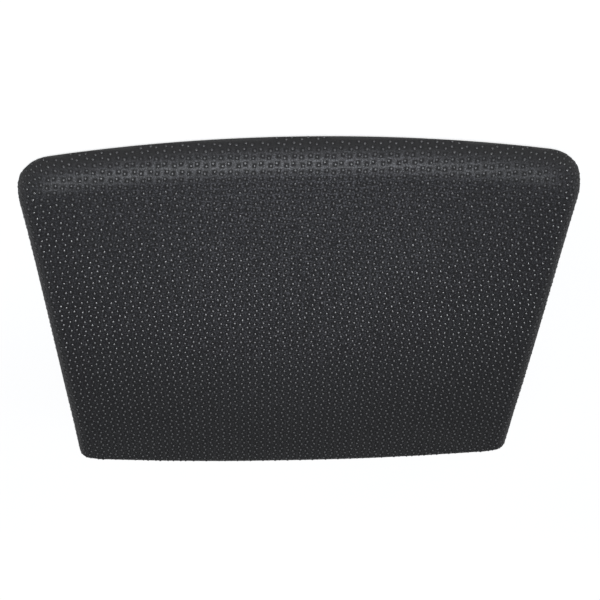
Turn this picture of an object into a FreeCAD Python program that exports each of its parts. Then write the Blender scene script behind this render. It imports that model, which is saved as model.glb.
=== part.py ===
"""Chair armrest pad: a padded, pin-dot skinned arm pad on a drilled board with a moulded under cover.

Frame: +X across the pad, -Y towards the rolled front edge, +Z up.
The origin is the middle of the underside, on the plane that the chair's arm bracket bolts against.
All lengths are millimetres.
"""

import math
import os

import FreeCAD, Part
from FreeCAD import Vector

# ---- overall pad ---------------------------------------------------------------------------
PAD_DEPTH = 219.0            # front edge to rear edge on the centre line
FRONT_CORNER_SPAN = 250.0    # width where the side lines would meet the front edge
REAR_CORNER_SPAN = 233.0     # width where the side lines would meet the rear edge
FRONT_BOW = 12.0             # how far the middle of the front edge stands ahead of its corners
REAR_BOW = 6.5               # how far the middle of the rear edge stands behind its corners
FRONT_CORNER_R = 17.0        # corner radii seen from above
REAR_CORNER_R = 7.0
CROWN_R = 950.0              # the face is part of a cylinder whose axis runs across the pad
CROWN_Y = 4.0                # highest line of the face
PAD_HEIGHT = 23.0            # highest line of the face above the pad's lower edge
FRONT_ROLL_R = 12.0          # the waterfall front
EDGE_ROLL_R = 6.0            # sides and rear
LOWER_ROLL_R = 3.0           # where the wall turns under
INNER_LOWER_ROLL_R = 2.0
LEAST_CORNER_R = 3.0         # corners of an inset outline stay at least this round

# ---- heights of the stack ------------------------------------------------------------------
COVER_STEP = 1.5             # the bolting pad stands this far below the rest of the cover
COVER_WEB = 2.2
PAD_BOTTOM = 4.5             # lower edge of the padded skin
SKIN = 1.5
BOARD_BOTTOM = PAD_BOTTOM + SKIN
BOARD_THICK = 8.0
BOARD_TOP = BOARD_BOTTOM + BOARD_THICK
PAD_TOP = PAD_BOTTOM + PAD_HEIGHT

# ---- skin hem, board and staples -----------------------------------------------------------
HEM_WIDTH = 24.0             # skin turned under, measured in from the pad's outline
FOAM_WRAP = 4.0              # foam between the skin and the board's edge
BOARD_CHAMFER = 1.5
VENT_R = 4.0
VENT_POS = ((-22.0, 0.0), (22.0, 0.0))
STAPLE_INSET = 18.0
STAPLE_CROWN = 10.0
STAPLE_WIRE_W = 0.9
STAPLE_WIRE_T = 0.6
STAPLE_LEG = 5.0
STAPLE_PITCH = 27.0

# ---- fixings to the chair ------------------------------------------------------------------
BOLT_SPACING_X = 100.0
BOLT_SPACING_Y = 75.0
BUSH_BORE_R = 3.3            # clearance for an M6 bolt
BUSH_R = 5.0
BUSH_FLANGE_R = 8.0
BUSH_FLANGE_T = 1.2
NUT_BORE_R = 2.5             # minor radius of an M6 thread
NUT_BARREL_R = 3.9
NUT_BARREL_GAP = 0.6         # barrel stops short of the board's underside
NUT_FLANGE_R = 9.5
NUT_FLANGE_T = 1.3
NUT_PRONGS = 4
NUT_PRONG_L = 5.0
NUT_PRONG_W = 2.4
NUT_PRONG_T = 1.1
NUT_PRONG_POINT = 0.3        # width of a prong at its end, as a share of its width at the flange

# ---- under cover and its screws ------------------------------------------------------------
COVER_INSET = 9.0
COVER_EDGE_R = 1.2
COVER_LIP_W = 2.5
BOLT_PAD_X = 136.0
BOLT_PAD_Y = 112.0
BOLT_PAD_CORNER_R = 10.0
BOLT_PAD_CHAMFER = COVER_STEP / 2
RIB_W = 1.6
RIB_INSET = HEM_WIDTH + 2.5
RIB_PITCH = 30.0
RIB_LINES = 4                # ribs each side of the middle one
BOSS_R = 7.0
BUSH_BOSS_WALL = 1.5         # cover around a bush's flange
COVER_VENT_R = 2.5
GROOVE_INSET = 15.0          # shallow groove around the cover's underside
GROOVE_W = 2.4
GROOVE_DEEP = 0.6
SPAR_W = 3.0                 # low outer ribs from the bolting pad towards the edges
SPAR_H = 0.9
SPAR_X = (-42.0, 42.0)
SPAR_Y = (-34.0, 0.0, 34.0)
SPAR_END_INSET = 21.0
GATE_R = 5.0                 # moulding gate recess in the middle of the bolting pad
GATE_DEEP = 0.4
SCREW_X = (-84.0, 0.0, 84.0)
SCREW_Y = (-71.0, 74.0)
SCREW_HEAD_R = 3.9
SCREW_HEAD_H = 2.3
SCREW_SEAT_Z = 4.2
SCREW_R = 2.0
SCREW_LENGTH = 9.0
SCREW_TIP = 2.0
SCREW_TIP_R = 0.4
SCREW_HEAD_ROUND = 0.45      # rounding of the pan head, as a share of its height
RECESS_CLEARANCE = 0.5       # around a screw head in its counterbore
CROSS_L = 4.4
CROSS_W = 0.9
CROSS_DEEP = 1.3

UP = Vector(0, 0, 1)
FAR = 200.0                  # reaches past the pad on every side
ABOVE = 10.0                 # blocks reach this far above the face before it is cut
FACE_RUN = PAD_DEPTH * 0.8   # how far the front roll's profile runs back along the face
TOUCH = 0.01                 # heights closer than this are the same
FRONT_SWEEP = 50.0           # degrees, wide enough to pass both front corners
FRONT_Y = -PAD_DEPTH / 2
REAR_Y = PAD_DEPTH / 2


# ---- outline -------------------------------------------------------------------------------
def bow_radius(span, bow):
    """Radius of the arc that rises by bow over a chord of span."""
    return (span * span / 4 + bow * bow) / (2 * bow)


def side_line():
    """A point on the right side line and its inward normal."""
    front = Vector(FRONT_CORNER_SPAN / 2, FRONT_Y + FRONT_BOW, 0)
    rear = Vector(REAR_CORNER_SPAN / 2, REAR_Y - REAR_BOW, 0)
    along = (rear - front).normalize()
    return front, Vector(-along.y, along.x, 0)


def corner(bow_centre, bow_r, corner_r, side, inward, rear):
    """Centre of the corner arc, and its two ends: on the bow and on the side line."""
    base = side + inward * corner_r
    along = Vector(inward.y, -inward.x, 0)
    rel = base - bow_centre
    b = rel.dot(along)
    c = rel.dot(rel) - (bow_r - corner_r) ** 2
    root = math.sqrt(b * b - c)
    centre = base + along * (-b + root if rear else -b - root)
    on_bow = bow_centre + (centre - bow_centre).normalize() * bow_r
    on_side = centre - inward * corner_r
    return centre, on_bow, on_side


def mirror(p):
    return Vector(-p.x, p.y, p.z)


def between(centre, a, b, radius):
    """The point of a corner arc halfway between its two ends."""
    return centre + (((a - centre) + (b - centre)).normalize() * radius)


def outline(inset, z):
    """Closed outline of the pad, moved in by inset, at height z."""
    front_r = bow_radius(FRONT_CORNER_SPAN, FRONT_BOW) - inset
    rear_r = bow_radius(REAR_CORNER_SPAN, REAR_BOW) - inset
    front_c = Vector(0, FRONT_Y + inset + front_r, 0)
    rear_c = Vector(0, REAR_Y - inset - rear_r, 0)
    side, inward = side_line()
    if inward.x > 0:
        inward = inward * -1
    side = side + inward * inset
    fr = max(FRONT_CORNER_R - inset, LEAST_CORNER_R)
    rr = max(REAR_CORNER_R - inset, LEAST_CORNER_R)
    fc, f_bow, f_side = corner(front_c, front_r, fr, side, inward, False)
    rc, r_bow, r_side = corner(rear_c, rear_r, rr, side, inward, True)
    f_mid = between(fc, f_bow, f_side, fr)
    r_mid = between(rc, r_bow, r_side, rr)
    front_mid = Vector(0, FRONT_Y + inset, 0)
    rear_mid = Vector(0, REAR_Y - inset, 0)
    edges = [
        Part.Arc(mirror(f_bow), front_mid, f_bow).toShape(),
        Part.Arc(f_bow, f_mid, f_side).toShape(),
        Part.LineSegment(f_side, r_side).toShape(),
        Part.Arc(r_side, r_mid, r_bow).toShape(),
        Part.Arc(r_bow, rear_mid, mirror(r_bow)).toShape(),
        Part.Arc(mirror(r_bow), mirror(r_mid), mirror(r_side)).toShape(),
        Part.LineSegment(mirror(r_side), mirror(f_side)).toShape(),
        Part.Arc(mirror(f_side), mirror(f_mid), mirror(f_bow)).toShape(),
    ]
    wire = Part.Wire(edges)
    wire.translate(Vector(0, 0, z))
    return wire


def slab(inset, z_low, z_high):
    """The pad's outline as a flat slab."""
    face = Part.Face(outline(inset, z_low))
    return face.extrude(UP * (z_high - z_low))


# ---- padded form ---------------------------------------------------------------------------
def crown_body(inset):
    """Everything under the crowned face, which is a cylinder lying across the pad."""
    axis = Vector(0, CROWN_Y, PAD_TOP - CROWN_R)
    body = Part.makeCylinder(CROWN_R - inset, 2 * FAR, axis - Vector(FAR, 0, 0), Vector(1, 0, 0))
    body.rotate(axis, Vector(1, 0, 0), 180)
    return body


def front_roll_body(inset):
    """Everything behind the rolled front, which is turned about the axis of the front edge's bow.

    Its profile is the front wall, the roll, and a straight line that leaves the roll along the face.
    """
    bow_r = bow_radius(FRONT_CORNER_SPAN, FRONT_BOW) - inset
    roll_r = FRONT_ROLL_R - inset
    crown_z = PAD_TOP - CROWN_R
    roll_y = FRONT_Y + inset + roll_r
    roll_z = crown_z + math.sqrt((CROWN_R - FRONT_ROLL_R) ** 2 - (roll_y - CROWN_Y) ** 2)
    centre = Vector(0, roll_y, roll_z)
    out = Vector(0, roll_y - CROWN_Y, roll_z - crown_z).normalize()
    ahead = Vector(0, -1, 0)
    wall_top = centre + ahead * roll_r
    face_start = centre + out * roll_r
    middle = centre + (out + ahead).normalize() * roll_r
    face_end = face_start + Vector(0, out.z, -out.y) * FACE_RUN
    wall_foot = Vector(0, wall_top.y, 0)
    end_foot = Vector(0, face_end.y, 0)
    profile = Part.Face(Part.Wire([
        Part.LineSegment(wall_foot, wall_top).toShape(),
        Part.Arc(wall_top, middle, face_start).toShape(),
        Part.LineSegment(face_start, face_end).toShape(),
        Part.LineSegment(face_end, end_foot).toShape(),
        Part.LineSegment(end_foot, wall_foot).toShape(),
    ]))
    axis = Vector(0, FRONT_Y + inset + bow_r, 0)
    profile.rotate(axis, UP, -FRONT_SWEEP / 2)
    return profile.revolve(axis, UP, FRONT_SWEEP), face_end.y


def pad_form(inset):
    """The padded form, moved in by inset on every side: crowned face, rolled edges, flat base."""
    low = PAD_BOTTOM + inset
    body = slab(inset, low, PAD_TOP + ABOVE).common(crown_body(inset)).Solids[0]
    top_edges = [e for e in body.Edges if min(v.Z for v in e.Vertexes) > low + TOUCH]
    body = body.makeFillet(EDGE_ROLL_R - inset, top_edges)
    low_edges = [e for e in body.Edges if max(v.Z for v in e.Vertexes) < low + TOUCH]
    body = body.makeFillet(INNER_LOWER_ROLL_R if inset else LOWER_ROLL_R, low_edges)
    roll, rear = front_roll_body(inset)
    ahead = Part.makeBox(2 * FAR, rear + FAR, FAR, Vector(-FAR, -FAR, 0))
    return body.cut(ahead.cut(roll)).Solids[0]


# ---- small shared shapes -------------------------------------------------------------------
def cylinder(x, y, z_low, z_high, radius):
    return Part.makeCylinder(radius, z_high - z_low, Vector(x, y, z_low))


def box(x, y, z_low, z_high, size_x, size_y):
    return Part.makeBox(size_x, size_y, z_high - z_low, Vector(x - size_x / 2, y - size_y / 2, z_low))


def fused(shapes):
    return shapes[0].multiFuse(shapes[1:]).removeSplitter() if len(shapes) > 1 else shapes[0]


def bolt_positions():
    return [(sx * BOLT_SPACING_X / 2, sy * BOLT_SPACING_Y / 2) for sx in (-1, 1) for sy in (-1, 1)]


def screw_positions():
    return [(x, y) for y in SCREW_Y for x in SCREW_X]


def edges_at(shape, z):
    """Level edges of a shape at height z."""
    level = [e for e in shape.Edges if e.BoundBox.ZMax - e.BoundBox.ZMin < TOUCH]
    return [e for e in level if abs(e.BoundBox.ZMin - z) < TOUCH]


# ---- fixings -------------------------------------------------------------------------------
def tee_nut(x, y):
    """One M6 tee nut, flange up and flush with the top of the board; also its unbored blank."""
    barrel_low = BOARD_BOTTOM + NUT_BARREL_GAP
    flange_low = BOARD_TOP - NUT_FLANGE_T
    pieces = [
        cylinder(x, y, barrel_low, flange_low, NUT_BARREL_R),
        cylinder(x, y, flange_low, BOARD_TOP, NUT_FLANGE_R),
    ]
    reach = NUT_FLANGE_R - NUT_PRONG_T
    half = NUT_PRONG_W / 2
    for i in range(NUT_PRONGS):
        spur = Part.Face(Part.makePolygon([
            Vector(reach, -half, flange_low),
            Vector(reach, half, flange_low),
            Vector(reach, half * NUT_PRONG_POINT, flange_low - NUT_PRONG_L),
            Vector(reach, -half * NUT_PRONG_POINT, flange_low - NUT_PRONG_L),
            Vector(reach, -half, flange_low),
        ])).extrude(Vector(-NUT_PRONG_T, 0, 0))
        spur.rotate(Vector(0, 0, 0), UP, 45 + 360 * i / NUT_PRONGS)
        spur.translate(Vector(x, y, 0))
        pieces.append(spur)
    blank = fused(pieces)
    return blank.cut(cylinder(x, y, barrel_low, BOARD_TOP, NUT_BORE_R)), blank


def bolt_bush(x, y):
    """Flanged steel bush that carries the bolt load past the moulded cover to the board."""
    tube = fused([
        cylinder(x, y, 0.0, BUSH_FLANGE_T, BUSH_FLANGE_R),
        cylinder(x, y, 0.0, BOARD_BOTTOM, BUSH_R),
    ])
    return tube.cut(cylinder(x, y, 0.0, BOARD_BOTTOM, BUSH_BORE_R))


def cover_screw(x, y):
    """Pan head screw with a cross recess, driven up through the cover into the board."""
    head = cylinder(x, y, SCREW_SEAT_Z - SCREW_HEAD_H, SCREW_SEAT_Z, SCREW_HEAD_R)
    head = head.makeFillet(SCREW_HEAD_H * SCREW_HEAD_ROUND, edges_at(head, SCREW_SEAT_Z - SCREW_HEAD_H))
    straight = SCREW_SEAT_Z + SCREW_LENGTH - SCREW_TIP
    shank = cylinder(x, y, SCREW_SEAT_Z, straight, SCREW_R)
    tip = Part.makeCone(SCREW_R, SCREW_TIP_R, SCREW_TIP, Vector(x, y, straight))
    cross_low = SCREW_SEAT_Z - SCREW_HEAD_H
    screw = fused([head, shank, tip])
    for size in ((CROSS_L, CROSS_W), (CROSS_W, CROSS_L)):
        screw = screw.cut(box(x, y, cross_low, cross_low + CROSS_DEEP, *size))
    return screw


def staple(point, along):
    """One staple with its crown under the hem and both legs up in the board."""
    low = PAD_BOTTOM - STAPLE_WIRE_T
    reach = (STAPLE_CROWN - STAPLE_WIRE_T) / 2
    pieces = [
        box(0, 0, low, PAD_BOTTOM, STAPLE_CROWN, STAPLE_WIRE_W),
        box(-reach, 0, low, low + STAPLE_LEG, STAPLE_WIRE_T, STAPLE_WIRE_W),
        box(reach, 0, low, low + STAPLE_LEG, STAPLE_WIRE_T, STAPLE_WIRE_W),
    ]
    body = fused(pieces)
    body.rotate(Vector(0, 0, 0), UP, math.degrees(math.atan2(along.y, along.x)))
    body.translate(Vector(point.x, point.y, 0))
    return body


def staples():
    """Staples evenly spaced along the front, the sides and the rear, and none across a corner."""
    result = []
    for edge in outline(STAPLE_INSET, 0.0).Edges[::2]:
        count = round(edge.Length / STAPLE_PITCH)
        points = edge.discretize(Number=2 * count + 1)
        for i in range(1, 2 * count, 2):
            result.append(staple(points[i], points[i + 1] - points[i - 1]))
    return result


# ---- main pieces ---------------------------------------------------------------------------
def board_blank():
    blank = slab(SKIN + FOAM_WRAP, BOARD_BOTTOM, BOARD_TOP)
    return blank.makeChamfer(BOARD_CHAMFER, edges_at(blank, BOARD_TOP))


def under_cover():
    """Moulded cover: a web with a lip that grips the hem, a raised bolting pad, ribs and bosses."""
    web_low = COVER_STEP
    web_top = COVER_STEP + COVER_WEB
    web = slab(COVER_INSET, web_low, web_top)
    web = web.makeFillet(COVER_EDGE_R, edges_at(web, web_low))
    lip = slab(COVER_INSET, web_top, PAD_BOTTOM).cut(slab(COVER_INSET + COVER_LIP_W, web_top, PAD_BOTTOM))
    pad = box(0, 0, 0.0, web_top, BOLT_PAD_X, BOLT_PAD_Y)
    uprights = [e for e in pad.Edges if abs(e.BoundBox.ZMax - e.BoundBox.ZMin) > 1.0]
    pad = pad.makeFillet(BOLT_PAD_CORNER_R, uprights)
    pad = pad.makeChamfer(BOLT_PAD_CHAMFER, edges_at(pad, 0.0))
    room = slab(RIB_INSET, web_top, BOARD_BOTTOM)
    lines = []
    for i in range(-RIB_LINES, RIB_LINES + 1):
        lines.append(box(i * RIB_PITCH, 0, web_top, BOARD_BOTTOM, RIB_W, PAD_DEPTH))
        lines.append(box(0, i * RIB_PITCH, web_top, BOARD_BOTTOM, FRONT_CORNER_SPAN, RIB_W))
    ribs = fused(lines).common(room)
    spar_low = web_low - SPAR_H
    spars = [box(x, 0, spar_low, web_low, SPAR_W, PAD_DEPTH) for x in SPAR_X]
    spars += [box(0, y, spar_low, web_low, FRONT_CORNER_SPAN, SPAR_W) for y in SPAR_Y]
    spars = fused(spars).common(slab(SPAR_END_INSET, spar_low, web_low))
    bosses = [cylinder(x, y, web_low, BOARD_BOTTOM, BOSS_R) for x, y in screw_positions()]
    bosses += [cylinder(x, y, 0.0, BOARD_BOTTOM, BUSH_FLANGE_R + BUSH_BOSS_WALL) for x, y in bolt_positions()]
    cover = fused([web, lip, pad, ribs, spars] + bosses)
    groove_top = web_low + GROOVE_DEEP
    groove = slab(GROOVE_INSET, web_low, groove_top)
    cuts = [
        groove.cut(slab(GROOVE_INSET + GROOVE_W, web_low, groove_top)),
        cylinder(0, 0, 0.0, GATE_DEEP, GATE_R),
    ]
    for x, y in screw_positions():
        cuts.append(cylinder(x, y, 0.0, SCREW_SEAT_Z, SCREW_HEAD_R + RECESS_CLEARANCE))
        cuts.append(cylinder(x, y, 0.0, BOARD_BOTTOM, SCREW_R))
    for x, y in bolt_positions():
        cuts.append(cylinder(x, y, 0.0, BUSH_FLANGE_T, BUSH_FLANGE_R))
        cuts.append(cylinder(x, y, 0.0, BOARD_BOTTOM, BUSH_R))
    for x, y in VENT_POS:
        cuts.append(cylinder(x, y, 0.0, BOARD_BOTTOM, COVER_VENT_R))
    return cover.cut(Part.makeCompound(cuts)).Solids[0]


def main():
    nuts = [tee_nut(x, y) for x, y in bolt_positions()]
    bushes = [bolt_bush(x, y) for x, y in bolt_positions()]
    screws = [cover_screw(x, y) for x, y in screw_positions()]
    pins = staples()

    outer = pad_form(0.0)
    inner = pad_form(SKIN)
    blank = board_blank()

    skin = outer.cut(inner).cut(slab(HEM_WIDTH, PAD_BOTTOM, BOARD_BOTTOM))
    skin = skin.cut(Part.makeCompound(pins)).Solids[0]

    foam = inner.cut(blank).Solids[0]

    holes = [nut_blank for _, nut_blank in nuts] + screws + pins
    holes += [cylinder(x, y, BOARD_BOTTOM, BOARD_TOP, NUT_BORE_R) for x, y in bolt_positions()]
    holes += [cylinder(x, y, BOARD_BOTTOM, BOARD_TOP - NUT_FLANGE_T, NUT_BARREL_R) for x, y in bolt_positions()]
    holes += [cylinder(x, y, BOARD_BOTTOM, BOARD_TOP, VENT_R) for x, y in VENT_POS]
    board = blank
    for hole in holes:
        board = board.cut(hole)
    board = board.Solids[0]

    parts = {
        "pad_skin": skin,
        "foam_core": foam,
        "base_board": board,
        "tee_nuts": Part.makeCompound([nut for nut, _ in nuts]),
        "hem_staples": Part.makeCompound(pins),
        "under_cover": under_cover(),
        "bolt_bushes": Part.makeCompound(bushes),
        "cover_screws": Part.makeCompound(screws),
    }
    os.makedirs("parts", exist_ok=True)
    for name, shape in parts.items():
        shape.exportStep(f"parts/{name}.step")
        b = shape.BoundBox
        print(f"{name}: {len(shape.Solids)} solid(s), valid {shape.isValid()}, {shape.Volume:.0f} mm3, "
              f"x {b.XMin:.2f} {b.XMax:.2f}, y {b.YMin:.2f} {b.YMax:.2f}, z {b.ZMin:.2f} {b.ZMax:.2f}")


main()
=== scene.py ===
"""Looks of the chair armrest pad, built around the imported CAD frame.

The skin is one closed mesh in which every raised pin dot is real geometry. Work is done in millimetres
on numpy arrays, and each mesh is made in metres in the row frame.
"""

import math

import bmesh
import bpy
import numpy as np
from mathutils import Matrix, Vector
from mathutils.geometry import delaunay_2d_cdt
from mathutils.kdtree import KDTree


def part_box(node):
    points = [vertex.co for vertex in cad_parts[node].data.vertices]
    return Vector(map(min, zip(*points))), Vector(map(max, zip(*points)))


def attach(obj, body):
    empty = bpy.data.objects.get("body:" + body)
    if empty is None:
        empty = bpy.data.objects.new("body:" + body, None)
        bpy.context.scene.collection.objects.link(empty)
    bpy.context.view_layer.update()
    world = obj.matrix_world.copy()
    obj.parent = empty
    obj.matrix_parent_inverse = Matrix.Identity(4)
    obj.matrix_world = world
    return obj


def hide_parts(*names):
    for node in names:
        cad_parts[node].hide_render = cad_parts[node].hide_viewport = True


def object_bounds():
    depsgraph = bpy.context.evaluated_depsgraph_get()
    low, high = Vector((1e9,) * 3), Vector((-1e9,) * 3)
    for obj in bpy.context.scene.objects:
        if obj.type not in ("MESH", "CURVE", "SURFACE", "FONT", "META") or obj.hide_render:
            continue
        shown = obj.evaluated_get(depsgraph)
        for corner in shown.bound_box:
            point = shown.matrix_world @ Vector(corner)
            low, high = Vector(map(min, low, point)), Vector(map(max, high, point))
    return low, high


MM = 0.001
SEED = 11

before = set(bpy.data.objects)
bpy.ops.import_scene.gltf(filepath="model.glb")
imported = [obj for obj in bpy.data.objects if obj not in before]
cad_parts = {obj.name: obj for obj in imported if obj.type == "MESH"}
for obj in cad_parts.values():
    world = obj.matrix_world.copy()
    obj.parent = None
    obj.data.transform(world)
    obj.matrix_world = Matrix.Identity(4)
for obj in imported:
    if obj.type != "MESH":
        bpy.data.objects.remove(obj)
CAD_BOX = [[float(v) for v in corner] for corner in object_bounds()]

# ---- the pad's form, in millimetres --------------------------------------------------------
PAD_LOW, PAD_HIGH = (np.array([float(v) for v in c]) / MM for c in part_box("pad_skin"))
DEPTH = PAD_HIGH[1] - PAD_LOW[1]
FRONT_Y, REAR_Y = PAD_LOW[1], PAD_HIGH[1]
TOP_Z, LOW_Z = PAD_HIGH[2], PAD_LOW[2]
FRONT_SPAN, REAR_SPAN = 250.0, 233.0      # width where the side lines meet the front and rear edges
FRONT_BOW, REAR_BOW = 12.0, 6.5
FRONT_CORNER_R, REAR_CORNER_R = 18.5, 5.5
LEAST_CORNER_R = 3.0
CROWN_R, CROWN_Y = 950.0, 4.0
FRONT_ROLL_R, FRONT_ROLL_FALL = 10.8, 1.4   # at the middle of the front, and how much less towards its ends
SIDE_ROLL_FRONT_R, SIDE_ROLL_REAR_R = 9.8, 6.5
REAR_ROLL_R = 4.0
LOWER_ROLL_R, INNER_LOWER_ROLL_R = 3.0, 2.0
WAIST = 2.0                               # how far the sides are hollowed halfway along
FLARE = 2.0                               # how far the side walls spread at their foot at the front
FLARE_TOP_Z, FLARE_FALL = 20.0, 14.0      # the height it starts from, and over how much height it grows
FRONT_TURN, FRONT_TURN_OVER = 12.0, 26.0  # before the front corner, where the front's roll becomes the side's
REAR_TURN, REAR_TURN_OVER = 8.0, 15.0     # the same before the rear corner
SIDE_FROM, SIDE_OVER = 0.3, 0.1           # share of the depth past which the roll is only the side's
SKIN = 1.5
HEM_WIDTH = 24.0

# ---- the pin dots --------------------------------------------------------------------------
DOT_PITCH_X, DOT_PITCH_Y = 3.44, 3.19
DOT_ZIGZAG, DOT_STAGGER = 0.125, 0.15     # sideways and lengthways, as shares of the pitch
DOT_R, DOT_SHOULDER_R = 0.66, 0.34
DOT_H, DOT_SHOULDER_H, DOT_MOAT = 0.33, 0.26, 0.11
DOT_SPREAD = 0.12                         # how much dots differ in size
DOT_TALL_SPREAD = 0.15                    # how much more they differ in height
WALL_DOT_FALL = 0.6                       # how much lower dots are on the walls of the sides and rear
FRONT_FACING, FRONT_FACING_EASE = 0.9, 0.5   # how squarely a wall faces forward where dots keep their height
DOT_WANDER = 0.06                         # how far a dot is from its place, as a share of the pitch
CELL_MARGIN = 0.8                         # between the dotted cells and the end of the sheet
CDT_NEAR = 1e-6                           # points of the sheet nearer than this would be merged
GRID_REACH = 0.62                         # of the dot grid, to each side, as a share of the pad

# ---- mesh detail ---------------------------------------------------------------------------
FINE = (900, 260, 1500, 180, 800)         # spans of half the outline, for finding the nearest point
RING_COUNTS = (26, 11, 30, 8, 24)         # spans of half the outline, for rings
LOWER_ROLL_Z = LOW_Z + LOWER_ROLL_R       # where the wall turns into the lower roll
SHEET_END_TURN = math.radians(48)         # how far round the lower roll the dotted sheet goes
NORMAL_INSET_MAX = 6.0                    # insets up to this run along the outline's normals
FOAM_WRAP = 4.0
FOAM_GAP = 0.3                            # between the foam and the skin, so that their facets never cross
FOAM_CORNER_EASE = 0.75                   # the board's front corners are squarer than the cushion's
BOARD_GAP = 0.05                          # between the foam and the board
FOAM_EDGE_IN, FOAM_EDGE_DOWN = 1.5, 1.4   # of the sloping corner inside the foam's hollow

# Turns are degrees round a roll, and shares are of the way from the middle to the rim.
UNDER_TURNS = (62, 76, 90)                # of the skin, below the dotted sheet
HEM_LOW_INSETS, HEM_HIGH_INSET = (6.0, 10.0, 15.0), 14.0   # of rings across the hem, below and above
HEM_EDGE_LOW, HEM_EDGE_HIGH = 0.4, 0.3    # bevels of the hem's inner edge
INNER_LOWER_TURNS = (90, 60, 30, 0)
SKIN_TURNS, SKIN_SHARES = (0, 22, 44, 66, 90), (0.85, 0.65, 0.45, 0.25, 0.08)
FOAM_TURNS, FOAM_SHARES = (0, 15, 30, 45, 60, 75, 90), (0.92, 0.8, 0.65, 0.5, 0.35, 0.2, 0.08)
HOLLOW_SHARES = (0.1, 0.35, 0.7)

# ---- swell of the padding ------------------------------------------------------------------
SWELL = 0.8                               # the most that a point moves
SWELL_PRESSURE, SWELL_FRAMES = 4.0, 20
SWELL_VOXEL = 0.005                       # in metres
SWELL_NEIGHBOURS, SWELL_SOFT = 6, 6.0     # simulated points that each point follows, and how evenly
HELD_Z = LOW_Z + 4.0                      # simulated points below this don't move
FORM_LOWER_TURNS, FORM_TURNS, FORM_SHARES = (90, 45, 0), (0, 30, 60, 90), (0.8, 0.6, 0.4, 0.2)

# ---- camera, light and floor, in metres and degrees ----------------------------------------
VIEW_ELEVATION, VIEW_SWING, VIEW_ROLL = 42.91, 1.81, 177.76
VIEW_DISTANCE, VIEW_LENS, VIEW_SHIFT_X = 0.6047, 75.54, 0.0504
VIEW_TARGET = (0.01334, -0.01595, 0.0155)
SENSOR_WIDTH = 36.0                       # in millimetres, as VIEW_LENS
CLIP_START, CLIP_END = 0.01, 50.0
KEY_PLACE, KEY_SIZE, KEY_POWER = (0.03, -0.665, 0.705), 0.20, 20.0
KEY_COLOUR = (0.95, 0.97, 1.0)
KEY_TARGET = (0.0, 0.0, 0.02)
WORLD_STRENGTH, WALL_STRENGTH = 0.19, 0.64   # overhead, and what the studio's pale walls add low down
WALLS_UP = (0.05, 0.45, 1.0, 0.0)         # a direction's upward part from and to, and the walls' share there
WALLS_BACK = (-0.6, 0.1, 0.2, 1.0)        # the same for its rearward part
FLOOR_HALF, FLOOR_GAP = 6.0, 0.0002
FLOOR_GLOW = (-0.15, 0.35, 0.58, 0.83)    # lengthways from and to, and how much the floor glows there


# ---- outline -------------------------------------------------------------------------------
def bow_radius(span, bow):
    return (span * span / 4 + bow * bow) / (2 * bow)


def arc(centre, start, end, radius, fractions):
    """Points and outward normals along a circular arc between two of its points, the short way round."""
    a0 = math.atan2(start[1] - centre[1], start[0] - centre[0])
    a1 = math.atan2(end[1] - centre[1], end[0] - centre[0])
    turn = (a1 - a0 + math.pi) % (2 * math.pi) - math.pi
    a = a0 + turn * fractions
    out = np.stack([np.cos(a), np.sin(a)], 1)
    return centre + out * radius, out


def corner(bow_c, bow_r, r, side, inward, rear):
    """Centre and ends of a corner arc that touches a bow and the side line."""
    base = side + inward * r
    along = np.array([inward[1], -inward[0]])
    rel = base - bow_c
    b, c = rel @ along, rel @ rel - (bow_r - r) ** 2
    root = math.sqrt(b * b - c)
    centre = base + along * (-b + root if rear else -b - root)
    away = centre - bow_c
    return centre, bow_c + away / np.linalg.norm(away) * bow_r, centre - inward * r


def half_outline(inset, counts):
    """Right half of the outline from the middle of the front to the middle of the rear, as points and
    outward normals; counts are the spans in the front, corner, side, corner and rear."""
    fr_r = bow_radius(FRONT_SPAN, FRONT_BOW) - inset
    re_r = bow_radius(REAR_SPAN, REAR_BOW) - inset
    fc = np.array([0.0, FRONT_Y + inset + fr_r])
    rc = np.array([0.0, REAR_Y - inset - re_r])
    front = np.array([FRONT_SPAN / 2, FRONT_Y + FRONT_BOW])
    rear = np.array([REAR_SPAN / 2, REAR_Y - REAR_BOW])
    along = (rear - front) / np.linalg.norm(rear - front)
    inward = np.array([-along[1], along[0]])
    side = front + inward * inset
    f_r = max(FRONT_CORNER_R - inset, LEAST_CORNER_R)
    r_r = max(REAR_CORNER_R - inset, LEAST_CORNER_R)
    f_c, f_bow, f_side = corner(fc, fr_r, f_r, side, inward, False)
    r_c, r_bow, r_side = corner(rc, re_r, r_r, side, inward, True)
    t = [np.arange(n) / n for n in counts]
    parts = [
        arc(fc, fc - [0, fr_r], f_bow, fr_r, t[0]),
        arc(f_c, f_bow, f_side, f_r, t[1]),
        (f_side + np.outer(t[2], r_side - f_side), np.tile(-inward, (counts[2], 1))),
        arc(r_c, r_side, r_bow, r_r, t[3]),
        arc(rc, r_bow, rc + [0, re_r], re_r, np.r_[t[4], 1.0]),
    ]
    return np.concatenate([p for p, _ in parts]), np.concatenate([n for _, n in parts])


def outline(inset, counts):
    """The whole outline, anticlockwise from the middle of the front."""
    p, n = half_outline(inset, counts)
    flip = np.array([-1.0, 1.0])
    return np.concatenate([p, p[-2:0:-1] * flip]), np.concatenate([n, n[-2:0:-1] * flip])


def smooth(t):
    t = np.clip(t, 0.0, 1.0)
    return t * t * (3 - 2 * t)


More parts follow.
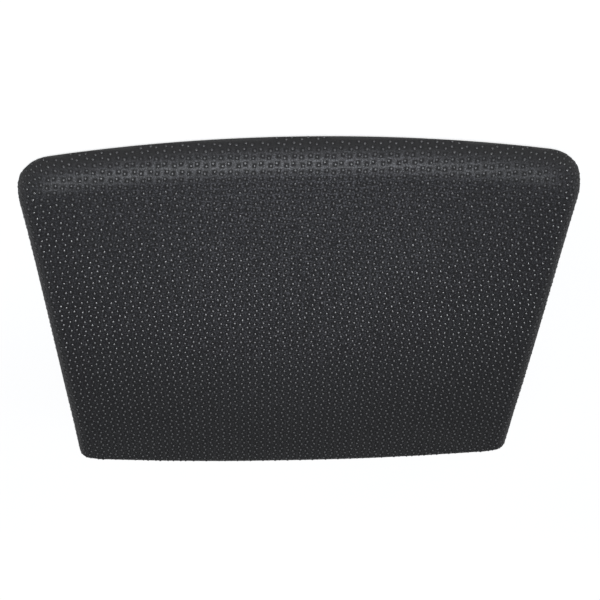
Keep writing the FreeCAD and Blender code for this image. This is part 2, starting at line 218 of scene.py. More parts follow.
def roll_radius(p):
    """Radius of the upper roll at a point of the outline."""
    x, y = np.abs(p[:, 0]), p[:, 1]
    along = (y - FRONT_Y) / DEPTH
    side = SIDE_ROLL_FRONT_R + (SIDE_ROLL_REAR_R - SIDE_ROLL_FRONT_R) * along
    front_turn = smooth((x - (FRONT_SPAN / 2 - FRONT_CORNER_R - FRONT_TURN)) / FRONT_TURN_OVER)
    front_turn = front_turn + smooth((along - SIDE_FROM) / SIDE_OVER)
    rear_turn = smooth((x - (REAR_SPAN / 2 - REAR_CORNER_R - REAR_TURN)) / REAR_TURN_OVER)
    front = FRONT_ROLL_R - FRONT_ROLL_FALL * (2 * x / FRONT_SPAN) ** 2
    front += (side - front) * np.clip(front_turn, 0, 1)
    rear = REAR_ROLL_R + (side - REAR_ROLL_R) * rear_turn
    return np.where(along < 0.5, front, rear)


def face_z(y, drop=0.0):
    """Height of the crowned face, drop below the outside of the skin."""
    return TOP_Z - drop - (y - CROWN_Y) ** 2 / (2 * CROWN_R)


def tree_of(points):
    """Search tree of points, for finding the nearest."""
    tree = KDTree(len(points))
    for i, point in enumerate(points):
        tree.insert(point, i)
    tree.balance()
    return tree


def waisted(verts):
    """Sides hollowed halfway along, and spread towards their foot at the front."""
    low = smooth((FLARE_TOP_Z - verts[:, 2]) / FLARE_FALL)
    along = (verts[:, 1] - FRONT_Y) / DEPTH
    out = verts.copy()
    out[:, 0] *= 1 + (FLARE * low * (1 - along) - WAIST * 4 * along * (1 - along)) / (FRONT_SPAN / 2)
    return out


# ---- the skin as one unrolled sheet --------------------------------------------------------
# A point q of the unrolled sheet lies in plan where the face is flat, and beyond the start of a roll it
# lies along the outline's normal at its distance over the roll and down the wall.
LINE_P, LINE_N = outline(0.0, FINE)
LINE_R = roll_radius(LINE_P)
LINE_TREE = tree_of(np.column_stack([LINE_P, np.zeros(len(LINE_P))]))


def nearest(q):
    """Outline point, outward normal and roll radius nearest to each q, and how far q lies out and along."""
    near = np.fromiter((LINE_TREE.find((x, y, 0.0))[1] for x, y in q), int, len(q))
    o, n, r = LINE_P[near], LINE_N[near], LINE_R[near]
    away = q - o
    out = (away * n).sum(1)
    along = away[:, 1] * n[:, 0] - away[:, 0] * n[:, 1]
    return o, n, r, out, along


def sheet_end(p, r):
    """How far the sheet reaches beyond the start of its roll: over it, down the wall and round the lower
    roll."""
    return r * math.pi / 2 + face_z(p[:, 1]) - r - LOWER_ROLL_Z + LOWER_ROLL_R * SHEET_END_TURN


def room(q):
    """Distance from q to the end of the sheet, negative outside it."""
    o, _, r, out, _ = nearest(q)
    return sheet_end(o, r) - (out + r)


def place(q, rise):
    """The points of the sheet at q, each raised by rise along the surface normal."""
    o, n, r, out, along = nearest(q)
    beyond = out + r
    flat = beyond <= 0
    theta = np.clip(math.pi / 2 - beyond / r, 0, math.pi / 2)
    tangent = np.stack([-n[:, 1], n[:, 0]], 1)
    below = np.maximum(beyond - r * math.pi / 2, 0)
    wall = np.minimum(below, face_z(o[:, 1]) - r - LOWER_ROLL_Z)
    under = (below - wall) / LOWER_ROLL_R
    inset = r * (1 - np.cos(theta)) + LOWER_ROLL_R * (1 - np.cos(under))
    top_y = np.where(flat, q[:, 1], o[:, 1] - n[:, 1] * r * (1 - np.cos(theta)))
    xy = np.where(flat[:, None], q, o + tangent * along[:, None] - n * inset[:, None])
    z = face_z(top_y)
    z = z - np.where(flat, 0.0, r * (1 - np.sin(theta)) + wall + LOWER_ROLL_R * np.sin(under))
    up = np.where(flat, 1.0, np.sin(theta) - np.sin(under))
    side = np.where(flat, 0.0, np.minimum(np.cos(theta), np.cos(under)))
    slope = (xy[:, 1] - CROWN_Y) / CROWN_R
    normal = np.stack([n[:, 0] * side, n[:, 1] * side + slope * up, up], 1)
    normal /= np.linalg.norm(normal, axis=1)[:, None]
    turned_away = smooth((n[:, 1] + FRONT_FACING) / FRONT_FACING_EASE)
    lowered = WALL_DOT_FALL * np.where(flat, 0.0, np.cos(theta)) * turned_away
    return np.column_stack([xy, z]) + normal * (rise * (1 - lowered))[:, None]


def dot_cells():
    """Cells of the dot grid that lie wholly on the sheet, as a mask, and the grid's corner points."""
    cols = 2 * int(FRONT_SPAN * GRID_REACH / DOT_PITCH_X) + 1
    rows = 2 * int(DEPTH * GRID_REACH / DOT_PITCH_Y) + 1
    x = (np.arange(cols + 1) - cols / 2) * DOT_PITCH_X
    y = (np.arange(rows + 1) - rows / 2) * DOT_PITCH_Y
    grid = np.stack(np.meshgrid(x, y, indexing="ij"), 2)
    inside = (room(grid.reshape(-1, 2)) > CELL_MARGIN).reshape(grid.shape[:2])
    keep = inside[:-1, :-1] & inside[1:, :-1] & inside[:-1, 1:] & inside[1:, 1:]
    return keep, grid


def cells_border(keep, corners, middles):
    """Vertex pairs along the border of the kept cells."""
    wide = np.pad(keep, 1)
    border = []
    for c, r in zip(*np.nonzero(keep)):
        if not wide[c + 1, r]:
            border.append((corners[c, r], corners[c + 1, r]))
        if not wide[c + 1, r + 2]:
            border.append((corners[c, r + 1], corners[c + 1, r + 1]))
        if not wide[c, r + 1]:
            border += [(corners[c, r], middles[c, r]), (middles[c, r], corners[c, r + 1])]
        if not wide[c + 2, r + 1]:
            border += [(corners[c + 1, r], middles[c + 1, r]), (middles[c + 1, r], corners[c + 1, r + 1])]
    return border


def fill_to_ring(q, ring_count, border, keep, first_corner):
    """Triangles between the kept cells' border and the ring, which is the first ring_count points of q."""
    loose = sorted({int(v) for e in border for v in e})
    chosen = list(range(ring_count)) + loose
    index = {v: i for i, v in enumerate(chosen)}
    edges = [(i, (i + 1) % ring_count) for i in range(ring_count)]
    edges += [(index[int(a)], index[int(b)]) for a, b in border]
    points = [Vector((float(x), float(y))) for x, y in q[chosen]]
    _, _, tris, source, _, _ = delaunay_2d_cdt(points, edges, [], 1, CDT_NEAR)
    tris = np.array([[chosen[source[v][0]] for v in t] for t in tris])
    wide = np.pad(keep, 1)
    cell = np.floor((q[tris].mean(1) - first_corner) / [DOT_PITCH_X, DOT_PITCH_Y]).astype(int) + 1
    cell = np.clip(cell, 0, np.array(wide.shape) - 1)
    return tris[~wide[cell[:, 0], cell[:, 1]]].tolist()


def dotted_sheet(ring):
    """The dotted sheet out to the closed ring of sheet points, whose vertices come first. Gives the vertices'
    sheet positions, rises and moat masks, the faces of the domes and of the ground, and the vertex pairs of
    the domes' rims."""
    rng = np.random.default_rng(SEED)
    keep, grid = dot_cells()
    cols, rows = keep.shape
    q, rise, moat = [ring], [np.zeros(len(ring))], [np.zeros(len(ring))]
    corner_ok = np.zeros((cols + 1, rows + 1), bool)
    for dx in (0, 1):
        for dy in (0, 1):
            corner_ok[dx:cols + dx, dy:rows + dy] |= keep
    middle_ok = np.zeros((cols + 1, rows), bool)
    middle_ok[:-1] |= keep
    middle_ok[1:] |= keep
    count = len(ring)

    def number(mask, points):
        nonlocal count
        ids = np.full(mask.shape, -1)
        ids[mask] = count + np.arange(mask.sum())
        count += int(mask.sum())
        q.append(points[mask])
        for values in (rise, moat):
            values.append(np.zeros(int(mask.sum())))
        return ids

    corners = number(corner_ok, grid)
    middles = number(middle_ok, (grid[:, :-1] + grid[:, 1:]) / 2)

    kc, kr = np.nonzero(keep)
    n = len(kc)
    sign = np.where((kc + kr) % 2, 1, -1)
    stagger = np.where(kc % 2, 1, -1)
    centre = (grid[kc, kr] + grid[kc + 1, kr + 1]) / 2
    centre[:, 0] += DOT_PITCH_X * (sign * DOT_ZIGZAG + rng.uniform(-1, 1, n) * DOT_WANDER)
    centre[:, 1] += DOT_PITCH_Y * (stagger * DOT_STAGGER + rng.uniform(-1, 1, n) * DOT_WANDER)
    size = 1 + rng.uniform(-1, 1, n) * DOT_SPREAD
    tall = size * (1 + rng.uniform(-1, 1, n) * DOT_TALL_SPREAD)
    turn = np.radians(np.arange(6) * 60)
    circle = np.stack([np.cos(turn), np.sin(turn)], 1)
    base = centre[:, None] + circle * (DOT_R * size)[:, None, None]
    shoulder = centre[:, None] + circle * (DOT_SHOULDER_R * size)[:, None, None]
    q += [centre, base.reshape(-1, 2), shoulder.reshape(-1, 2)]
    rise += [DOT_H * tall, np.full(6 * n, -DOT_MOAT), np.repeat(DOT_SHOULDER_H * tall, 6)]
    moat += [np.zeros(n), np.ones(6 * n), np.zeros(6 * n)]
    top = count + np.arange(n)
    low = count + n + np.arange(6 * n).reshape(n, 6)
    mid = count + 7 * n + np.arange(6 * n).reshape(n, 6)
    edge = np.stack([
        middles[kc + 1, kr], corners[kc + 1, kr + 1], corners[kc, kr + 1],
        middles[kc, kr], corners[kc, kr], corners[kc + 1, kr],
    ], 1)
    domes, faces = [], []
    for i in range(6):
        j = (i + 1) % 6
        domes += np.stack([top, mid[:, i], mid[:, j]], 1).tolist()
        domes += np.stack([mid[:, i], low[:, i], low[:, j], mid[:, j]], 1).tolist()
        faces += np.stack([low[:, i], edge[:, i], edge[:, j], low[:, j]], 1).tolist()

    q = np.concatenate(q)
    border = cells_border(keep, corners, middles)
    faces += fill_to_ring(q, len(ring), border, keep, grid[0, 0])
    rims = np.concatenate([np.stack([r, np.roll(r, -1, 1)], 2).reshape(-1, 2) for r in (low, mid)])
    return q, np.concatenate(rise), np.concatenate(moat), domes, faces, rims


# ---- rings under and inside the skin -------------------------------------------------------
RING_O, RING_N = outline(0.0, RING_COUNTS)
RING_R = roll_radius(RING_O)
RINGS = len(RING_O)


def ring_at(inset, z):
    """A closed ring of points parallel to the outline. Inset and z may differ from point to point."""
    inset, z = np.broadcast_to(inset, RINGS), np.broadcast_to(z, RINGS)
    if inset.max() <= NORMAL_INSET_MAX or inset.max() > inset.min():
        xy = RING_O - RING_N * inset[:, None]
    else:
        xy = outline(float(inset[0]), RING_COUNTS)[0]
    return np.column_stack([xy, z])


def lower_roll(inset, low, r, degrees):
    return [ring_at(inset + r * (1 - math.cos(a)), low + r * (1 - math.sin(a))) for a in np.radians(degrees)]


def upper_roll(depth, degrees):
    """Rings over the upper roll at a depth below the outside of the skin."""
    rings = []
    r = RING_R - depth
    for a in np.radians(degrees):
        ring = ring_at(depth + r * (1 - math.cos(a)), 0.0)
        ring[:, 2] = face_z(ring[:, 1], depth) - r * (1 - math.sin(a))
        rings.append(ring)
    return rings


def towards_middle(ring, depth, shares):
    """Rings shrunk towards the middle of the face, at a depth below the outside of the skin."""
    rings = []
    for share in shares:
        xy = ring[:, :2] * share
        rings.append(np.column_stack([xy, face_z(xy[:, 1], depth)]))
    return rings


def loft(first, rings, start):
    """Quads between successive rings; first holds the vertex numbers of the ring they start from."""
    faces = []
    last = np.asarray(first)
    for k in range(len(rings)):
        here = start + k * RINGS + np.arange(RINGS)
        faces += np.stack([last, here, np.roll(here, -1), np.roll(last, -1)], 1).tolist()
        last = here
    return faces, last


def cap(last, middle):
    return np.stack([last, np.full(RINGS, middle), np.roll(last, -1)], 1).tolist()


def closed_object(name, verts, faces):
    """A linked object in metres from points in millimetres, with its normals outward."""
    mesh = bpy.data.meshes.new(name)
    mesh.from_pydata((verts * MM).tolist(), [], faces)
    bm = bmesh.new()
    bm.from_mesh(mesh)
    bmesh.ops.recalc_face_normals(bm, faces=bm.faces)
    bm.to_mesh(mesh)
    bm.free()
    obj = bpy.data.objects.new(name, mesh)
    bpy.context.scene.collection.objects.link(obj)
    return obj


def build(name, verts, faces, material, masks=None):
    """A smooth piece that rides on the root body, with float masks on its first vertices."""
    obj = closed_object(name, verts, faces)
    obj.data.shade_smooth()
    for key, values in (masks or {}).items():
        data = np.zeros(len(verts), np.float32)
        data[:len(values)] = values
        obj.data.attributes.new(key, "FLOAT", "POINT").data.foreach_set("value", data)
    obj.data.materials.append(material)
    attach(obj, "root")
    return obj


def points_of(mesh):
    co = np.empty(3 * len(mesh.vertices), np.float32)
    mesh.vertices.foreach_get("co", co)
    return co.reshape(-1, 3).astype(float) / MM


def simulate_swell():
    """Cloth simulation of the outside of the pad under pressure from the foam, held at the underside: its
    points before, and how far each moves, scaled so that the most is SWELL."""
    sides = lower_roll(0.0, LOW_Z, LOWER_ROLL_R, FORM_LOWER_TURNS) + upper_roll(0.0, FORM_TURNS)
    rings = sides + towards_middle(sides[-1], 0.0, FORM_SHARES)
    verts = np.concatenate([[[0.0, 0.0, LOW_Z]], *rings, [[0.0, 0.0, face_z(0.0)]]])
    first = 1 + np.arange(RINGS)
    more, last = loft(first, rings[1:], 1 + RINGS)
    form = closed_object("swell_form", verts, cap(first, 0) + more + cap(last, len(verts) - 1))
    remesh = form.modifiers.new("remesh", "REMESH")
    remesh.mode = "VOXEL"
    remesh.voxel_size = SWELL_VOXEL
    form.data = bpy.data.meshes.new_from_object(form.evaluated_get(bpy.context.evaluated_depsgraph_get()))
    form.modifiers.clear()
    before = points_of(form.data)
    held = form.vertex_groups.new(name="held")
    held.add(np.nonzero(before[:, 2] < HELD_Z)[0].tolist(), 1.0, "REPLACE")
    cloth = form.modifiers.new("cloth", "CLOTH")
    cloth.settings.vertex_group_mass = held.name
    cloth.settings.use_pressure = True
    cloth.settings.uniform_pressure_force = SWELL_PRESSURE
    cloth.settings.effector_weights.gravity = 0
    cloth.point_cache.frame_start, cloth.point_cache.frame_end = 1, SWELL_FRAMES
    scene = bpy.context.scene
    for f in range(1, SWELL_FRAMES + 1):
        scene.frame_set(f)
    after = points_of(form.evaluated_get(bpy.context.evaluated_depsgraph_get()).data)
    scene.frame_set(1)
    bpy.data.objects.remove(form)
    moved = after - before
    return before, moved * (SWELL / np.linalg.norm(moved, axis=1).max())


def swell(verts):
    """The points moved as the nearest points of the cloth simulation move."""
    if SWOLLEN is None:
        return verts
    tree, moved = SWOLLEN
    out = verts.copy()
    for i, v in enumerate(verts):
        found = tree.find_n(v, SWELL_NEIGHBOURS)
        weight = np.array([1 / (d * d + SWELL_SOFT) for _, _, d in found])
        out[i] += weight @ moved[[k for _, k, _ in found]] / weight.sum()
    return out


def crease(mesh, pairs):
    """Sharpens the edges between the given pairs of vertices."""
    ends = np.empty(2 * len(mesh.edges), np.int32)
    mesh.edges.foreach_get("vertices", ends)
    ends = np.sort(ends.reshape(-1, 2).astype(np.int64), axis=1)
    wanted = np.sort(pairs.astype(np.int64), axis=1)
    sharp = np.isin(ends[:, 0] << 32 | ends[:, 1], wanted[:, 0] << 32 | wanted[:, 1])
    mesh.attributes.new("sharp_edge", "BOOLEAN", "EDGE").data.foreach_set("value", sharp)


def make_skin(ground, gloss):
    """The skin: the dotted sheet, the hem under it and the smooth inside, with the domes in their own
    material. The hem has no holes for the staples, whose legs pass through it."""
    sheet_ring = RING_O + RING_N * (sheet_end(RING_O, RING_R) - RING_R)[:, None]
    q, rise, moat, domes, faces, rims = dotted_sheet(sheet_ring)
    outer = place(q, rise)
    outer[:RINGS] = lower_roll(0.0, LOW_Z, LOWER_ROLL_R, (math.degrees(SHEET_END_TURN),))[0]
    top = LOW_Z + SKIN
    rings = lower_roll(0.0, LOW_Z, LOWER_ROLL_R, UNDER_TURNS)
    rings += [ring_at(inset, LOW_Z) for inset in (*HEM_LOW_INSETS, HEM_WIDTH - HEM_EDGE_LOW)]
    rings += [ring_at(HEM_WIDTH, LOW_Z + HEM_EDGE_LOW), ring_at(HEM_WIDTH, top - HEM_EDGE_HIGH)]
    rings += [ring_at(inset, top) for inset in (HEM_WIDTH - HEM_EDGE_HIGH, HEM_HIGH_INSET)]
    rings += lower_roll(SKIN, top, INNER_LOWER_ROLL_R, INNER_LOWER_TURNS)
    rings += upper_roll(SKIN, SKIN_TURNS)
    rings += towards_middle(rings[-1], SKIN, SKIN_SHARES)
    more, last = loft(np.arange(RINGS), rings, len(outer))
    middle = np.array([[0.0, 0.0, face_z(0.0, SKIN)]])
    verts = waisted(np.concatenate([outer, *rings, middle]))
    faces = domes + faces + more + cap(last, len(verts) - 1)
    skin = build("pad_skin_dotted", swell(verts), faces, ground, {"moat": moat})
    skin.data.materials.append(gloss)
    on_dome = np.zeros(len(faces), np.int32)
    on_dome[:len(domes)] = 1
    skin.data.polygons.foreach_set("material_index", on_dome)
    crease(skin.data, rims)
    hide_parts("pad_skin")


def make_foam(material):
    """Foam between the skin and the board: crowned and rolled like the skin, hollow below for the board, to
    which it is glued, so that the hollow keeps its form."""
    depth = SKIN + FOAM_GAP
    board_low, board_high = (float(c[2]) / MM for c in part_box("base_board"))
    low, top = board_low + BOARD_GAP, board_high + BOARD_GAP
    edge = SKIN + FOAM_WRAP - FOAM_CORNER_EASE
    walls = [ring_at(edge + FOAM_EDGE_IN, top), ring_at(edge, board_high - FOAM_EDGE_DOWN)]
    walls.append(ring_at(edge, low))
    hollow = [np.column_stack([walls[0][:, :2] * s, walls[0][:, 2]]) for s in HOLLOW_SHARES] + walls
    outside = lower_roll(depth, low, INNER_LOWER_ROLL_R, INNER_LOWER_TURNS)
    outside += upper_roll(depth, FOAM_TURNS)
    outside += towards_middle(outside[-1], depth, FOAM_SHARES)
    rings = hollow + [waisted(ring) for ring in outside]
    verts = np.concatenate([[[0.0, 0.0, top]], *rings, [[0.0, 0.0, face_z(0.0, depth)]]])
    first = 1 + np.arange(RINGS)
    more, last = loft(first, rings[1:], 1 + RINGS)
    faces = cap(first, 0) + more + cap(last, len(verts) - 1)
    glued = 1 + len(hollow) * RINGS
    verts = np.concatenate([verts[:glued], swell(verts[glued:])])
    foam = build("foam_core_moulded", verts, faces, material)
    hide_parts("foam_core")


# ---- materials -----------------------------------------------------------------------------
PAINTED_LIGHT_PLACE, PAINTED_LIGHT_REACH = (0.0, -0.06, 0.025), (0.04, 0.14)   # centre of the pool of painted light on the face, and the distances over which it fades to the darker ground
MATT_REACH = (-0.02, 0.07)                # lengthways, where the dots turn from glossy to matt
WALL_SHADE = (0.012, 0.0185)              # heights between which the painted shade low on the walls fades out; the skin is also rougher below them
GROUND_DARK, GROUND_PALE = (0.0040, 0.0042, 0.0050), (0.0060, 0.0062, 0.0072)
GRAIN_TONE = (0.052, 0.0529, 0.0582)
# Painted shade: the first of these two tones is painted in the moats round the dots, the second low on the
# walls.
MOAT_PAINTED_SHADE, WALL_PAINTED_SHADE = (0.0015, 0.0015, 0.0017), (0.0045, 0.0045, 0.0048)
# Painted shade: the last tone on the next line is painted at the feet of the dots and on the dots low on the
# walls.
DOT_DARK, DOT_PALE, DOT_SHADE = (0.012, 0.0122, 0.0136), (0.024, 0.0244, 0.0262), (0.004, 0.004, 0.0045)


class Nodes:
    """Short calls for building a node material. An input is named by its socket, or by _ and its number."""

    def __init__(self, name):
        self.material = bpy.data.materials.new(name)
        self.material.use_nodes = True
        self.tree = self.material.node_tree
        self.shader = next(n for n in self.tree.nodes if n.type == "BSDF_PRINCIPLED")

    def add(self, kind, props=None, **inputs):
        node = self.tree.nodes.new(kind)
        for key, value in (props or {}).items():
            setattr(node, key, value)
        for key, value in inputs.items():
            self.set(node, key, value)
        return node

    def set(self, node, key, value):
        socket = node.inputs[int(key[1:])] if key[:1] == "_" else node.inputs[key.replace("_", " ")]
        if isinstance(value, bpy.types.NodeSocket):
            self.tree.links.new(value, socket)
        else:
            socket.default_value = value

    def coords(self, scale=(1.0, 1.0, 1.0)):
        at = self.add("ShaderNodeTexCoord").outputs["Object"]
        return self.add("ShaderNodeMapping", Vector=at, Scale=scale).outputs[0]

    def noise(self, scale, detail=2.0, rough=0.5, vector=None):
        at = vector or self.add("ShaderNodeTexCoord").outputs["Object"]
        node = self.add("ShaderNodeTexNoise", Vector=at, Scale=scale, Detail=detail, Roughness=rough)
        return node.outputs["Fac"]

    def cells(self, scale):
        at = self.add("ShaderNodeTexCoord").outputs["Object"]
        return self.add("ShaderNodeTexVoronoi", Vector=at, Scale=scale).outputs["Distance"]

    def math(self, operation, a, b=0.0, c=0.0):
        return self.add("ShaderNodeMath", {"operation": operation}, _0=a, _1=b, _2=c).outputs[0]

    def span(self, value, low, high, out_low=0.0, out_high=1.0):
        node = self.add("ShaderNodeMapRange", Value=value)
        for key, number in zip(("From Min", "From Max", "To Min", "To Max"), (low, high, out_low, out_high)):
            node.inputs[key].default_value = number
        return node.outputs[0]

    def mix(self, share, a, b):
        node = self.add("ShaderNodeMix", {"data_type": "RGBA"})
        for i, value in ((0, share), (6, a), (7, b)):
            single = isinstance(value, (float, bpy.types.NodeSocket))
            self.set(node, f"_{i}", value if single else (*value, 1.0))
        return node.outputs[2]

    def place(self, axis):
        at = self.add("ShaderNodeTexCoord").outputs["Object"]
        return self.add("ShaderNodeSeparateXYZ", Vector=at).outputs[axis]

    def distance(self, point):
        at = self.add("ShaderNodeTexCoord").outputs["Object"]
        return self.add("ShaderNodeVectorMath", {"operation": "DISTANCE"}, _0=at, _1=point).outputs["Value"]

    def attribute(self, name):
        return self.add("ShaderNodeAttribute", {"attribute_name": name}).outputs["Fac"]

    def bump(self, height, distance, strength=1.0):
        return self.add("ShaderNodeBump", Height=height, Distance=distance, Strength=strength).outputs[0]

    def finish(self, **inputs):
        for key, value in inputs.items():
            self.set(self.shader, key, value)
        return self.material


def skin_material():
    """Matt charcoal coated fabric with a fine grain, with a pool of painted light on the middle of the face,
    and painted shade in the moat round each dot and low on the walls.
    """
    m = Nodes("charcoal coated fabric")
    rim = m.span(m.attribute("moat"), 0.3, 0.8)
    face = m.span(m.place("Z"), *WALL_SHADE)
    cloud = m.noise(28.0, 3.0)
    grain = m.noise(1500.0, 4.0, 0.65)
    pores = m.cells(1300.0)
    ground = m.mix(m.span(cloud, 0.3, 0.7), GROUND_DARK, GROUND_PALE)
    ground = m.mix(m.span(grain, 0.50, 0.62, 0.0, 0.85), ground, GRAIN_TONE)
    # Painted light: the ground is painted paler round one place on the face and darker away from it.
    ground = m.mix(m.span(m.distance(PAINTED_LIGHT_PLACE), *PAINTED_LIGHT_REACH, 0.0, 0.7), ground, GROUND_DARK)
    # Painted shade: the moat round each dot is painted darker.
    ground = m.mix(m.math("MULTIPLY", rim, 0.95), ground, MOAT_PAINTED_SHADE)
    # Painted shade: the skin is painted darker low on the walls.
    ground = m.mix(face, WALL_PAINTED_SHADE, ground)
    height = m.math("ADD", m.math("MULTIPLY", grain, 0.8), m.math("MULTIPLY", pores, 0.5))
    matt = m.math("MULTIPLY_ADD", face, -0.16, m.span(grain, 0.3, 0.7, 0.80, 0.70))
    return m.finish(Base_Color=ground, Roughness=m.math("MULTIPLY_ADD", rim, 0.25, matt),
                    Normal=m.bump(height, 0.00022, 0.8), IOR=1.45, Specular_IOR_Level=0.29)


def dot_material():
    """The glossy moulded dots, less glossy on their tops and low on the walls, and matt towards the rear,
    with painted shade round their feet and low on the walls.
    """
    m = Nodes("glossy pin dots")
    moat = m.attribute("moat")
    rim = m.span(moat, 0.4, 1.0)
    wear = m.noise(700.0, 3.0, 0.6)
    tone = m.mix(m.span(wear, 0.35, 0.65), DOT_DARK, DOT_PALE)
    # Painted shade: the feet of the dots' flanks are painted darker, and so are the dots low on the walls.
    tone = m.mix(m.math("MULTIPLY", rim, 0.7), tone, DOT_SHADE)
    tone = m.mix(m.span(m.place("Z"), *WALL_SHADE, 0.2, 1.0), DOT_SHADE, tone)
    matt = m.math("ADD", m.span(moat, 0.0, 0.3, 0.22, 0.0), m.span(wear, 0.3, 0.7, 0.33, 0.41))
    matt = m.math("ADD", matt, m.span(m.place("Z"), *WALL_SHADE, 0.24, 0.0))
    matt = m.math("ADD", matt, m.span(m.place("Y"), *MATT_REACH, 0.0, 0.32))
    return m.finish(Base_Color=tone, Roughness=matt,
                    Normal=m.bump(wear, 0.00005, 0.4), IOR=1.5, Specular_IOR_Level=0.65)


def foam_material():
    m = Nodes("open cell foam")
    pores = m.cells(1400.0)
    tone = m.mix(m.span(m.noise(40.0, 3.0), 0.3, 0.7), (0.60, 0.55, 0.40), (0.70, 0.66, 0.52))
    colour = m.mix(m.span(pores, 0.1, 0.6), (0.36, 0.32, 0.22), tone)
    return m.finish(Base_Color=colour, Roughness=m.span(pores, 0.0, 0.7, 0.98, 0.85),
                    Normal=m.bump(pores, 0.0004))


def board_material():
    """Plywood: long grain on the faces and stacked plies at the edge."""
    m = Nodes("plywood")
    grain = m.noise(30.0, 5.0, 0.6, m.coords((1.2, 14.0, 1.0)))
    plies = m.add("ShaderNodeTexWave", {"wave_type": "BANDS", "bands_direction": "Z"},
                  Vector=m.coords(), Scale=100.0, Distortion=0.6).outputs["Fac"]
    wood = m.mix(m.span(grain, 0.3, 0.7), (0.46, 0.30, 0.16), (0.64, 0.47, 0.29))
    colour = m.mix(m.span(plies, 0.3, 0.7, 0.0, 0.4), wood, (0.36, 0.22, 0.12))
    return m.finish(Base_Color=colour, Roughness=m.span(grain, 0.2, 0.8, 0.62, 0.8),
                    Normal=m.bump(grain, 0.0002))


def steel_material():
    m = Nodes("zinc plated steel")
    scuffs = m.noise(900.0, 4.0, 0.6)
    bloom = m.noise(120.0, 2.0)
    colour = m.mix(m.span(bloom, 0.3, 0.7), (0.56, 0.57, 0.60), (0.70, 0.71, 0.72))
    return m.finish(Base_Color=colour, Metallic=1.0, Roughness=m.span(scuffs, 0.3, 0.7, 0.24, 0.42),
                    Normal=m.bump(scuffs, 0.00003, 0.5))


def screw_material():
    m = Nodes("black oxide steel")
    scuffs = m.noise(1100.0, 4.0, 0.6)
    colour = m.mix(m.span(scuffs, 0.55, 0.75), (0.030, 0.030, 0.033), (0.10, 0.10, 0.105))
    return m.finish(Base_Color=colour, Metallic=0.7, Roughness=m.span(scuffs, 0.3, 0.7, 0.3, 0.5),
                    Normal=m.bump(scuffs, 0.00003, 0.5))


def cover_material():
    """Black moulded plastic with a fine spark-eroded texture."""
    m = Nodes("black moulded plastic")
    spark = m.cells(1800.0)
    fine = m.noise(3000.0, 3.0, 0.6)
    cloud = m.noise(22.0, 2.0)
    colour = m.mix(m.span(cloud, 0.3, 0.7), (0.018, 0.018, 0.019), (0.026, 0.026, 0.027))
    height = m.math("ADD", spark, m.math("MULTIPLY", fine, 0.6))
    return m.finish(Base_Color=colour, Roughness=m.span(fine, 0.3, 0.7, 0.46, 0.6),
                    Normal=m.bump(height, 0.00015, 0.7))


def dress(node, material):
    """Gives a CAD node's object its finished material."""
    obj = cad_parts[node]
    for slot in obj.material_slots:
        slot.material = material


# ---- stage ---------------------------------------------------------------------------------
def make_floor():
    """A pale floor just below the pad, which glows a little so that it stays white in the picture."""
    m = Nodes("pale floor")
    tone = m.mix(m.span(m.noise(3.0, 2.0), 0.3, 0.7), (0.19, 0.19, 0.19), (0.21, 0.21, 0.21))
    glow = m.span(m.place("Y"), *FLOOR_GLOW)
    material = m.finish(Base_Color=tone, Roughness=0.9, Emission_Color=(1.0, 1.0, 1.0, 1.0),
                        Emission_Strength=glow)
    square = [(-FLOOR_HALF, -FLOOR_HALF, 0), (FLOOR_HALF, -FLOOR_HALF, 0)]
    square += [(FLOOR_HALF, FLOOR_HALF, 0), (-FLOOR_HALF, FLOOR_HALF, 0)]
    mesh = bpy.data.meshes.new("floor")
    mesh.from_pydata(square, [], [(0, 1, 2, 3)])
    mesh.materials.append(material)
    floor = bpy.data.objects.new("floor", mesh)
    bpy.context.scene.collection.objects.link(floor)
    floor.location.z = CAD_BOX[0][2] - FLOOR_GAP


def make_key_light():
    light = bpy.data.lights.new("key", "AREA")
    light.shape = "DISK"
    light.size = KEY_SIZE
    light.energy = KEY_POWER
    light.color = KEY_COLOUR
    obj = bpy.data.objects.new("key", light)
    bpy.context.scene.collection.objects.link(obj)
    obj.location = KEY_PLACE
    obj.rotation_euler = (Vector(KEY_TARGET) - Vector(KEY_PLACE)).to_track_quat("-Z", "Y").to_euler()


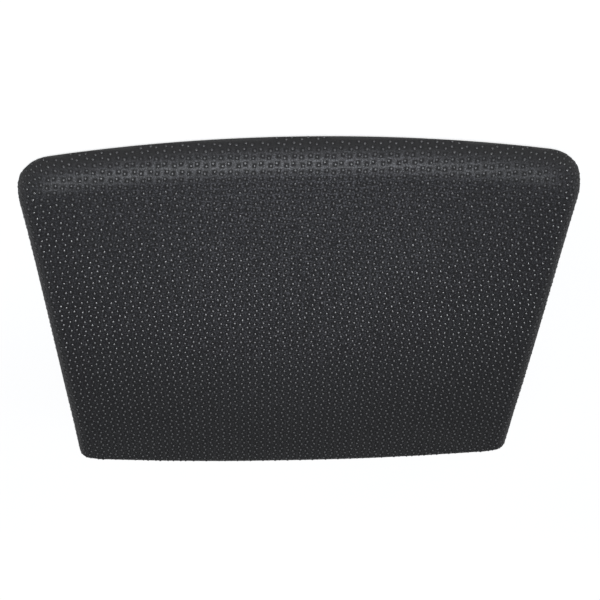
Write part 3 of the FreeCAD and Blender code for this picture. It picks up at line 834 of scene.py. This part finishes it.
def make_world():
    """A white studio, brighter low down and behind, where its pale walls are."""
    world = bpy.data.worlds.new("studio")
    bpy.context.scene.world = world
    world.use_nodes = True
    nodes, links = world.node_tree.nodes, world.node_tree.links
    way = nodes.new("ShaderNodeSeparateXYZ")
    links.new(nodes.new("ShaderNodeTexCoord").outputs["Generated"], way.inputs[0])
    low = nodes.new("ShaderNodeMapRange")
    behind = nodes.new("ShaderNodeMapRange")
    for node, axis, values in ((low, "Z", WALLS_UP), (behind, "Y", WALLS_BACK)):
        links.new(way.outputs[axis], node.inputs["Value"])
        for key, value in zip(("From Min", "From Max", "To Min", "To Max"), values):
            node.inputs[key].default_value = value
    wall = nodes.new("ShaderNodeMath")
    wall.operation = "MULTIPLY"
    links.new(low.outputs[0], wall.inputs[0])
    links.new(behind.outputs[0], wall.inputs[1])
    strength = nodes.new("ShaderNodeMath")
    strength.operation = "MULTIPLY_ADD"
    links.new(wall.outputs[0], strength.inputs[0])
    strength.inputs[1].default_value = WALL_STRENGTH
    strength.inputs[2].default_value = WORLD_STRENGTH
    back = nodes["Background"]
    back.inputs["Color"].default_value = (1.0, 1.0, 1.0, 1.0)
    links.new(strength.outputs[0], back.inputs["Strength"])


def make_camera():
    """Above the rolled front, looking back and down over the face, and turned over so that the rolled front
    is at the top of the picture."""
    elevation, swing, roll = math.radians(VIEW_ELEVATION), math.radians(VIEW_SWING), math.radians(VIEW_ROLL)
    level = math.cos(elevation)
    back = Vector((math.sin(swing) * level, -math.cos(swing) * level, math.sin(elevation)))
    right = (-back).cross(Vector((0, 0, 1))).normalized()
    up = right.cross(-back)
    right, up = right * math.cos(roll) + up * math.sin(roll), up * math.cos(roll) - right * math.sin(roll)
    data = bpy.data.cameras.new("camera")
    data.sensor_width = SENSOR_WIDTH
    data.lens = VIEW_LENS
    data.shift_x = VIEW_SHIFT_X
    data.clip_start, data.clip_end = CLIP_START, CLIP_END
    camera = bpy.data.objects.new("camera", data)
    bpy.context.scene.collection.objects.link(camera)
    camera.rotation_euler = Matrix((right, up, back)).transposed().to_euler()
    camera.location = Vector(VIEW_TARGET) + back * VIEW_DISTANCE
    bpy.context.scene.camera = camera


# ---- everything ----------------------------------------------------------------------------
SWOLLEN = None
cloth_points, cloth_moved = simulate_swell()
SWOLLEN = tree_of(cloth_points), cloth_moved
make_skin(skin_material(), dot_material())
make_foam(foam_material())
steel = steel_material()
dress("base_board", board_material())
dress("under_cover", cover_material())
dress("cover_screws", screw_material())
for metal in ("tee_nuts", "hem_staples", "bolt_bushes"):
    dress(metal, steel)
make_floor()
make_world()
make_key_light()
make_camera()
bpy.context.scene.view_settings.view_transform = "Standard"
